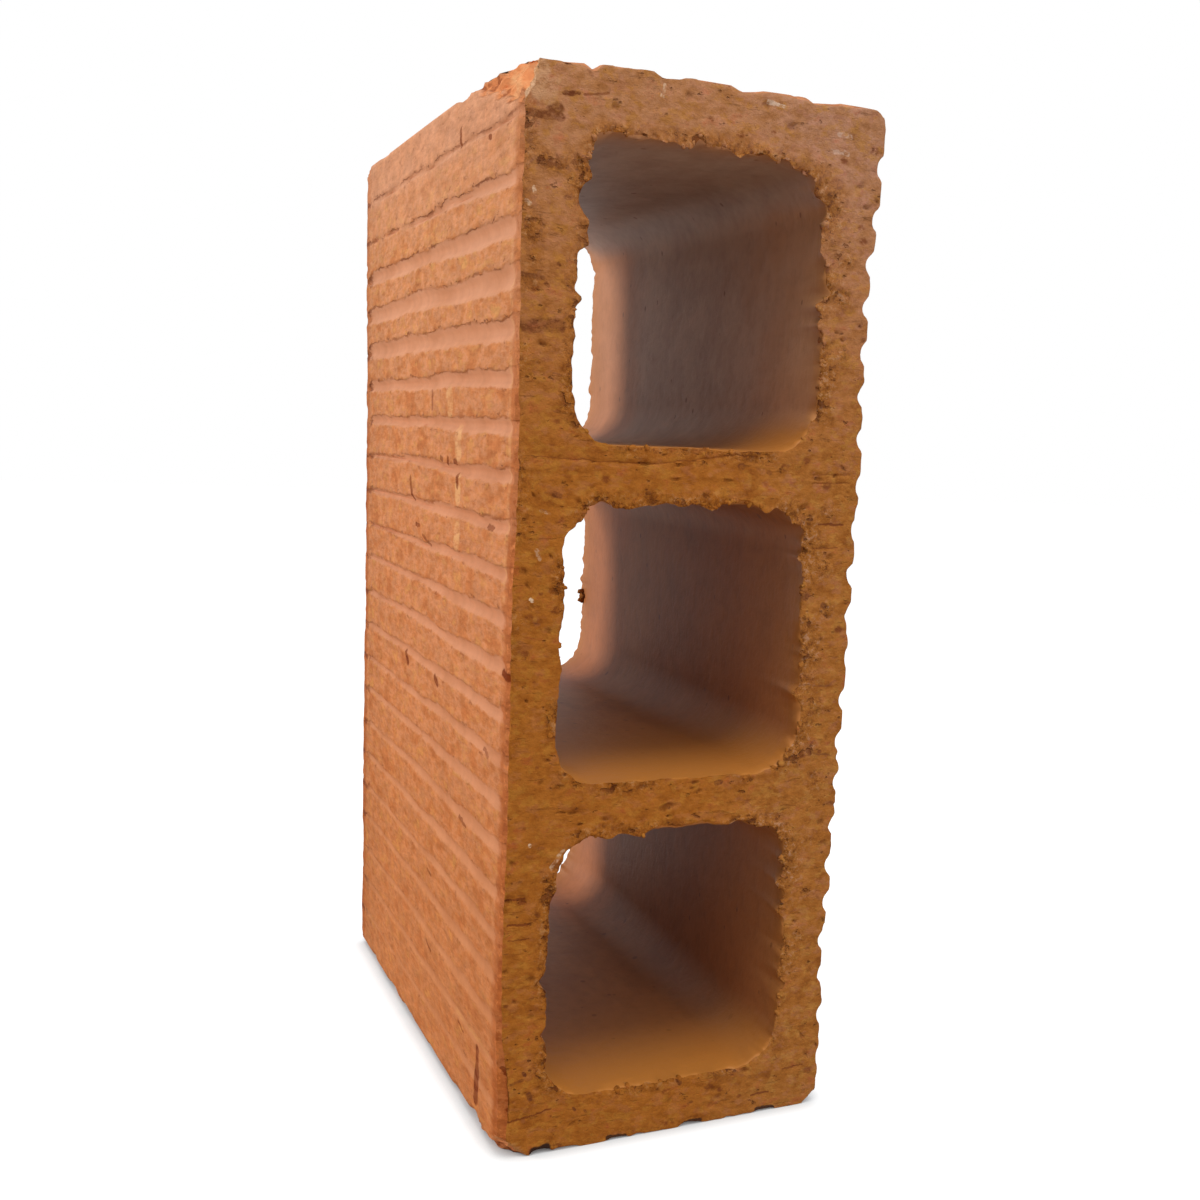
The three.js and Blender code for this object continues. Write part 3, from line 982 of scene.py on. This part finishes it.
def cutClay(name, look):
    material, tree = newMaterial(name)
    x, y, z = split(clayCoordinates(tree))
    crumbly = mark(tree, "crumbly")
    patches = noise(tree, (0.7, 1, 1), 0.26, 5, 0.68)
    low, high = [ramp(patches, *zip((0.3, 0.44, 0.56, 0.7), look[level]))
                 for level in ("low", "high")]
    # rosy patches, more of them high up, where their rise is painted light
    blush = spread(noise(tree, (0.6, 1, 1), 0.4, 3, 0.6), 0.52, 0.64)
    blush = blush * spread(z, 120, 235, 0.1, 0.22)
    flecks = spread(noise(tree, (0.7, 1, 1), 0.45, 3, 0.65), 0.52, 0.64)
    grain = noise(tree, (0.7, 1, 1), 0.8, 4, 0.7)
    shade = ramp(grain, (0.28, (0.7, 0.66, 0.6, 1)), (0.5, (0.86, 0.86, 0.86, 1)),
                 (0.76, (0.99, 1, 1.02, 1)))
    # scratches and torn grains lie level, as the wire went
    scratches = spread(noise(tree, (0.14, 1, 1), 0.8, 4, 0.7), 0.62, 0.7)
    grains = spread(noise(tree, (0.6, 1, 1), 0.5, 3, 0.6), 0.65, 0.75)
    tinyPits = specks(tree, (0.8, 1, 1), 0.7, 0.34, 0.08, 5)
    # pits, scratches and grains are darkened with the pit colour, partly dirt and partly painted shade
    # in the hollows
    hollow = largest(scratches * 0.28, grains, tinyPits * 0.85, mark(tree, "pit") * 0.8)
    spots = specks(tree, (0.75, 1, 1), 0.24, 0.3, 0.24, 3) * spread(grain, 0.62, 0.42, 0.1, 0.75)
    # beside the cells the crumbled clay has painted highlights on its lumps and painted shade between
    # them
    lumps = noise(tree, (1, 1, 1), 0.62, 5, 0.75)
    crumbledLitAndShaded = ramp(lumps, (0.4, look["pit"]), (0.47, look["low"][1]), (0.54, look["low"][2]),
                    (0.64, look["lump"]))
    caves = spread(noise(tree, (0.8, 1, 1), 0.34, 3, 0.6), 0.42, 0.34)
    caves = caves * spread(crumbly, 0.15, 0.5)
    grit = specks(tree, (1, 1, 1), 0.19, 0.12, 0.2, 9)
    # marks of this cut alone, the one that faces -Y
    place = flatPlace(tree, (1, 0, 1), 1.3)
    front = maths("LESS_THAN", y, 0)

    def frontMarks(marks):
        return strokes(place, lambda x, z: (x, 0, z), marks) * front

    smeared = frontMarks(look["smooth"]) * spread(grain, 0.36, 0.56, 0.35, 1)
    pale = frontMarks(look["paleMarks"])
    pale = pale * spread(noise(tree, (0.8, 1, 1), 1.1, 2), 0.42, 0.56, 0.15, 1)
    dark = frontMarks(look["darkMarks"]) * spread(grain, 0.4, 0.56, 1.1, 0.6)
    scars = [(*a, *b, width, darkness)
             for line, width, darkness, _ in wear["scars"] for a, b in zip(line, line[1:])]
    # the colour shifts with height as painted light, cool high up and warm low down
    colour = coats(blend(spread(z, 150, 245), low, high),
                   (blush, look["rosy"]), (flecks * 0.45, look["yellow"]))
    colour = coats(tint(colour, shade), (hollow * 0.6, look["pit"]), (spots, look["spot"]),
                   (crumbly * 0.85, crumbledLitAndShaded), (caves * 0.7, look["pit"]),
                   (grit * 0.8, look["pale"]), (smeared, look["facet"]), (pale, look["pale"]),
                   (dark, look["soot"]), (frontMarks(scars), look["spot"]),
                   # a painted highlight along the broken rim
                   (frontMarks(look["rimHighlight"]), look["rimHighlightColour"]),
                   (mark(tree, "broken") * 0.6, look["lump"]),
                   # painted shadow in the chips under the bed edge
                   (frontMarks(look["gapShadows"]), look["gap"]))
    # the right wall is greyer
    greyer = tint(colour, blend(spread(z, 120, 200), look["rightLow"], look["right"]))
    colour = blend(spread(x, 2, 30), colour, greyer)
    relief = grain + lumps * 3 * crumbly - hollow - caves
    return finishClay(material, colour, relief, look)


skinFinish = {
    "smooth": rgb(212, 152, 120), "smoothDark": rgb(203, 142, 108), "torn": rgb(199, 130, 83),
    "tornDark": rgb(188, 116, 70), "tornPink": rgb(205, 142, 104), "tornPale": rgb(207, 148, 92),
    # the nick colour also paints the shadow under the lips and at the far cut
    "nickAndShadow": rgb(116, 54, 24), "slit": rgb(118, 50, 4), "broken": rgb(212, 134, 84),
    # in a break the palest and darkest broken colours are painted highlight and painted shade
    "brokenHighlight": rgb(228, 168, 118), "brokenDark": rgb(160, 90, 50), "edge": rgb(179, 106, 60),
    # low, middle and high tint the skin by height: painted light
    "pale": rgb(230, 180, 130), "low": (0.875, 0.735, 0.51, 1), "middle": (0.96, 0.885, 0.78, 1),
    "high": (0.98, 1.01, 0.98, 1), "far": (0.9, 0.9, 0.9, 1),
    "depth": 0.26, "rough": 0.9, "gloss": 0.15,
    # nicks, slits and drag marks on the left side: two points in Y and Z, width, strength
    "darkMarks": [
        (-53.7, 20.4, -53.4, 14, 1.2, 0.9), (-53.4, 15, -52.9, 7.4, 1.9, 1),
        (-69, 22.9, -69.5, 20, 0.4, 0.9), (-69.5, 20, -69.2, 12, 0.4, 0.9),
        (-26.7, 232.4, -26.9, 229.2, 0.8, 0.8), (-48, 227.4, -49.4, 227.2, 0.7, 0.8),
        (-4.3, 174.2, -4.5, 170.6, 0.8, 0.6), (16.2, 151.8, 13.4, 147, 1, 0.9),
        (-26.4, 154.2, -26.7, 152.4, 1.2, 0.9), (-50.6, 144.6, -54.8, 144, 0.6, 0.8),
        (-18.3, 158.2, -18.5, 157.6, 0.9, 0.9), (-12.4, 158.3, -14.2, 158, 0.7, 0.9),
        (-24, 158, -26, 157.6, 0.7, 1), (17.9, 104, 15.4, 101.8, 1.1, 1),
        (-11.8, 102.5, -14, 101.4, 1, 0.9), (-65.6, 113.8, -68.6, 113.2, 1.1, 1),
        (9.6, 140.2, 6, 140.1, 0.6, 0.8), (2.8, 138, -4.2, 135.8, 0.45, 0.7),
        (-52.6, 93.8, -56.6, 92.8, 0.5, 0.6), (-35, 72.5, -40.6, 71.5, 0.45, 0.75),
        (-8.6, 30.4, -13.2, 29, 0.5, 0.75), (-8.2, 50.2, -12, 49.6, 0.45, 0.6),
        (-37.8, 20.4, -42.2, 19.6, 0.4, 0.6)],
    # pale marks on the left side; the long upright one beside the near cut is a painted highlight on the
    # low ridge there
    "paleMarks": [
        (-19.9, 173.6, -20.1, 170.4, 2.8, 0.7), (-27.4, 164, -27.4, 160.6, 2.8, 0.8),
        (-27.3, 152.6, -27.5, 149.8, 2.6, 0.8), (-28, 141.4, -27.9, 139, 2.6, 0.8),
        (-36, 22.8, -62, 23.2, 0.9, 0.5), (-65.2, 204, -64.8, 130, 1, 0.3)],
}


def combedClay(name, look):
    material, tree = newMaterial(name)
    x, y, z = split(clayCoordinates(tree))
    inside, lip, tear, broken = [mark(tree, name) for name in ("groove", "lip", "tear", "broken")]
    fine = noise(tree, (0.3, 0.4, 0.8), 0.6, 4, 0.65) - 0.5
    edge = inside + fine * 2.2
    # the grooves are crisp high up and blurred towards the bed
    torn = spread(edge * spread(z, 10, 150, 0.42, 1), 0.35, -0.4)
    haze = noise(tree, (1, 0.5, 1), 0.12, 3)
    smoothColour = ramp(haze, (0.35, look["smoothDark"]), (0.6, look["smooth"]))
    # the torn clay between the grooves is drawn out along the brick, with a few pale flecks, and
    # the highest rib was wiped smooth by the die
    drag = noise(tree, (0.3, 0.32, 0.6), 0.36, 3, 0.6)
    patch = noise(tree, (0.3, 0.3, 0.9), 0.5, 4, 0.65)
    tornColour = ramp(drag, (0.32, look["tornDark"]), (0.43, look["torn"]),
                      (0.53, look["tornPink"]), (0.62, look["torn"]), (0.7, look["tornPale"]))
    tornColour = coats(tornColour, (spread(patch, 0.54, 0.66, 0, 0.6), look["tornPale"]),
                       (spread(patch, 0.44, 0.32, 0, 0.7), look["tornDark"]),
                       ((1.0 - tear) * 1.1, smoothColour))
    # beside the cuts the skin was rubbed down to the body of the clay
    fromMiddle = maths("ABSOLUTE", y)
    upper = spread(z, 130, 230)
    rubbed = spread(fromMiddle + fine * 6, 63.8, 67.2) * spread(upper, 0, 1, 1, 0.6)
    rubbed = rubbed * spread(noise(tree, (0.6, 0.6, 0.5), 0.3, 3), 0.36, 0.6, 0.65, 1)
    colour = coats(smoothColour, (torn, tornColour), (rubbed, look["edge"]))
    grain = noise(tree, (0.3, 0.26, 0.8), 1.1, 3, 0.65)
    shade = ramp(grain, (0.3, (0.83, 0.8, 0.75, 1)), (0.5, (1, 1, 1, 1)),
                 (0.74, (1.08, 1.09, 1.11, 1)))
    roughly = largest(torn, rubbed)
    mottle = spread(noise(tree, (0.35, 0.4, 0.9), 0.42, 4, 0.7), 0.36, 0.64, 0.89, 1.08)
    # faint upright lines where the clay dragged in the die
    drawn = spread(noise(tree, (0.05, 0.55, 0.05), 0.5, 3, 0.6), 0.35, 0.65, 0.97, 1.03)
    colour = tint(tint(colour, grey(mottle), roughly * 0.85 + 0.1), grey(drawn))
    colour = tint(colour, shade, roughly * 0.65 + 0.2)
    # nicks in the torn clay, most of them in the lip over a groove
    picked = spread(noise(tree, (0.3, 0.4, 0.8), 0.55, 4, 0.7), 0.585, 0.65)
    nicks = picked * spread(edge, -1.4, -0.2, 0.3, 1) * torn * spread(lip, 0, 0.6, 0.55, 1)
    # the shadow line under the lip comes and goes
    broad = spread(noise(tree, (0.3, 0.5, 1), 0.26, 2), 0.4, 0.64, 0.2, 0.8)
    comes = spread(noise(tree, (0.3, 0.6, 1), 0.19, 4), 0.46, 0.57, 0.06, 1)
    line = spread(maths("ABSOLUTE", edge + 0.1), broad, 0.06) * (comes * lip)
    # at the far cut the lips broke into the grooves, and the groove ends there get painted shadow
    onLeft = maths("LESS_THAN", x, -30)
    far = spread(maths("ABSOLUTE", edge), 1.1, 0.3) * spread(y, 58, 66)
    far = far * spread(noise(tree, (0.3, 0.5, 0.8), 0.4, 3), 0.46, 0.56)
    line = largest(line, far * onLeft)
    # painted soft shade over the groove just under a lip
    lipShade = spread(maths("ABSOLUTE", inside), 1.3, 0) * (lip * 0.18)
    dark = largest(nicks, line, lipShade)
    place = flatPlace(tree, (0, 1, 1), 1.4)
    cuts, pale = [strokes(place, lambda y, z: (0, y, z), look[marks]) * onLeft
                  for marks in ("darkMarks", "paleMarks")]
    cuts = cuts * spread(patch, 0.4, 0.56, 1, 0.75)
    # crumbs and chips along the cut edge
    arris = spread(fromMiddle, 66.6, 68.6) * spread(upper, 0, 1, 0.9, 0.6)
    bits = noise(tree, (0.6, 0.6, 0.7), 0.6, 4, 0.7)
    # one dark colour lays on the nicks, the painted shadow lines under the lips and at the far cut, and
    # the painted soft shade
    colour = coats(colour, (pale * spread(patch, 0.38, 0.56, 0.25, 0.9), look["pale"]),
                   (arris * spread(bits, 0.52, 0.62), look["brokenDark"]),
                   (arris * spread(bits, 0.46, 0.36), look["broken"]),
                   (dark * 0.78, look["nickAndShadow"]), (cuts, look["slit"]))
    # tinted by height as painted light: more orange low down for warm bounce, paler high up for sheen
    # from above
    heightLight = blend(spread(z, 15, 130), look["low"], look["middle"])
    colour = tint(colour, blend(spread(z, 130, 235), heightLight, look["high"]))
    # towards the far cut the side is a little darker
    colour = blend(spread(y, 25, 66), colour, tint(colour, look["far"]))
    # the broken clay is fresh orange, with painted highlights and painted shade in its chunks
    chunks = noise(tree, (1, 0.4, 0.8), 0.34, 3, 0.55)
    fresh = ramp(chunks, (0.36, look["brokenDark"]), (0.44, look["broken"]),
                 (0.54, look["broken"]), (0.72, look["brokenHighlight"]))
    colour = blend(broken, colour, tint(fresh, shade, 0.6))
    relief = (patch + grain * 0.5) * (torn + 0.1) + chunks * (broken * 4) - largest(dark, cuts)
    return finishClay(material, colour, relief, look)


cellFinish = {
    # the far end is pinker and the middle greyer, partly painted shade deep inside; the mouth colour is
    # partly painted light
    "end": rgb(190, 131, 94), "endDark": rgb(180, 122, 83), "deep": rgb(196, 166, 146),
    # the dust colour is partly painted light on the floors near the mouths
    "deepDark": rgb(182, 150, 130), "mouth": rgb(205, 151, 108), "dust": rgb(182, 114, 42),
    # low, high, lower and lowest tint the cells by height: painted light, warmer low down
    "dot": rgb(112, 74, 56), "low": (0.82, 0.63, 0.42, 1), "high": (1, 1, 1, 1),
    "lower": (0.92, 0.67, 0.4, 1), "lowest": (0.78, 0.56, 0.4, 1),
    # the ceiling tints are painted shade on the faces that turn down
    "ceiling": (0.88, 1, 1.2, 1), "ceilingLow": (0.9, 0.76, 0.6, 1),
    "depth": 0.2, "rough": 0.6, "gloss": 0.45,
}


def cellClay(name, look):
    material, tree = newMaterial(name)
    haze = noise(tree, (1, 0.5, 0.5), 0.14, 4)
    _, y, z = split(clayCoordinates(tree))
    place = y + (haze - 0.5) * 20
    # pinker towards the far end, greyer in the middle and yellower at the near mouth: the grey deep
    # inside is partly painted shade and the yellow at the mouth partly painted light
    end, deep = [ramp(haze, (0.38, look[part + "Dark"]), (0.6, look[part]))
                 for part in ("end", "deep")]
    # the lower cells are browner inside: painted warm light from below
    lower = blend(spread(z, 70, 105), look["lowest"], look["lower"])
    upper = spread(z, 130, 190)
    deep = tint(deep, blend(upper, lower, look["high"]))
    # the faces that turn down, the ceilings, are tinted all along, bluish in the upper cells and brown
    # low down: painted shade
    _, _, facing = split(wire(tree, "NewGeometry", "Normal"))
    ceiling = tint(deep, blend(spread(z, 160, 200), look["ceilingLow"], look["ceiling"]))
    colour = coats(deep, (spread(place, 24, 46), end),
                   (spread(place, -12, -66, 0, 0.85), look["mouth"]),
                   (spread(facing, -0.2, -0.8, 0, 0.9), ceiling))
    drag = noise(tree, (0.7, 0.7, 0.5), 0.5, 4, 0.65)
    shade = ramp(drag, (0.3, (0.88, 0.87, 0.86, 1)), (0.5, (1, 1, 1, 1)),
                 (0.72, (1.07, 1.07, 1.07, 1)))
    dots = specks(tree, (1, 1, 0.6), 0.2, 0.2, 0.5, 7)
    colour = blend(dots * 0.6, tint(colour, shade), look["dot"])
    # darker and more orange low down: painted light
    colour = tint(colour, blend(upper, look["low"], look["high"]))
    # yellow floors near the mouths: dust, and partly painted light from above
    colour = blend(mark(tree, "dusty"), colour, look["dust"])
    return finishClay(material, colour, drag, look)


cutMaterial = cutClay("cut clay", cutFinish)
for material in (cutMaterial, cutMaterial, cellClay("cell clay", cellFinish),
                 combedClay("combed clay", skinFinish)):
    body.data.materials.append(material)
body.data.set_sharp_from_angle(angle=math.radians(48))
loose.data.materials.append(cutMaterial)

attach(body, "root")
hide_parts("brick_body")
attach(loose, "root")

print("finish done")

lamps = {
    "window": {"from": (-0.9, 0.38, 0.25), "far": 1.3, "size": (0.26, 0.5), "power": 12,
               "colour": (1, 0.92, 0.84)},
    "ceiling": {"from": (-0.1, -0.31, 0.95), "far": 1.3, "size": (0.5, 0.5), "power": 8,
                "colour": (1, 0.95, 0.85)},
    "card": {"from": (0.16, -0.96, 0.2), "far": 1.5, "size": (0.5, 0.5), "power": 9,
             "colour": (1, 0.92, 0.8)},
}
studio = {
    "ambient": (0.76, 0.92, 1.12, 1),
    "ambientStrength": 0.45,
    "floorBounce": (0.36, 0.26, 0.17, 1),
    "floorSize": 6,
    "floorGlow": 0.9,
    "floorPaper": (0.35, 0.35, 0.35, 1),
    "contact": 0.006,
}


def makeLamp(name, lamp):
    data = bpy.data.lights.new(name, "AREA")
    data.shape = "RECTANGLE"
    data.size, data.size_y = lamp["size"]
    data.energy = lamp["power"]
    data.color = lamp["colour"]
    light = bpy.data.objects.new(name, data)
    light.visible_camera = False
    aim = Vector((0, 0, height * mm / 2))
    way = Vector(lamp["from"]).normalized()
    light.location = aim + way * lamp["far"]
    light.rotation_mode = "QUATERNION"
    light.rotation_quaternion = way.to_track_quat("Z", "Y")
    bpy.context.scene.collection.objects.link(light)


def seenRay(tree):
    # 1 for rays that show the backdrop: from the camera, off a gloss or through glass
    rays = add(tree, "LightPath").outputs
    kinds = ("Is Camera Ray", "Is Glossy Ray", "Is Transmission Ray")
    return largest(*[Wire(rays[kind]) for kind in kinds])


def makeWorld(name, look):
    # a white backdrop, and dim blue light where only the clay sees it
    world = bpy.data.worlds.new(name)
    bpy.context.scene.world = world
    world.use_nodes = True
    tree = world.node_tree
    ambient = tree.nodes["Background"]
    ambient.inputs["Color"].default_value = look["ambient"]
    ambient.inputs["Strength"].default_value = look["ambientStrength"]
    white = wire(tree, "Background", 0, {"Color": (1, 1, 1, 1)})
    inputs = {0: seenRay(tree), 1: Wire(ambient.outputs[0]), 2: white}
    shown = wire(tree, "MixShader", 0, inputs)
    tree.links.new(shown.socket, tree.nodes["World Output"].inputs["Surface"])


def makeFloor(name, look):
    # paper that glows white and shades a little under the brick, and that bounces warm light
    half = look["floorSize"] / 2
    corners = [(-half, -half, 0), (half, -half, 0), (half, half, 0), (-half, half, 0)]
    mesh = bpy.data.meshes.new(name)
    mesh.from_pydata(corners, [], [(0, 1, 2, 3)])
    floor = bpy.data.objects.new(name, mesh)
    bpy.context.scene.collection.objects.link(floor)
    material, tree = newMaterial(name)
    tree.nodes.clear()
    contact = wire(tree, "AmbientOcclusion", "Color", {"Distance": look["contact"]})
    glow = wire(tree, "Emission", 0, {"Color": contact, "Strength": look["floorGlow"]})
    paper = wire(tree, "BsdfDiffuse", 0, {"Color": look["floorPaper"]})
    both = wire(tree, "AddShader", 0, {0: glow, 1: paper})
    bounce = wire(tree, "BsdfDiffuse", 0, {"Color": look["floorBounce"]})
    shown = wire(tree, "MixShader", 0, {0: seenRay(tree), 1: bounce, 2: both})
    add(tree, "OutputMaterial", {"Surface": shown})
    mesh.materials.append(material)
    return floor


for name, lamp in lamps.items():
    makeLamp(name, lamp)
makeWorld("studio", studio)
floor = makeFloor("floor", studio)

bpy.context.scene.view_settings.view_transform = "Standard"
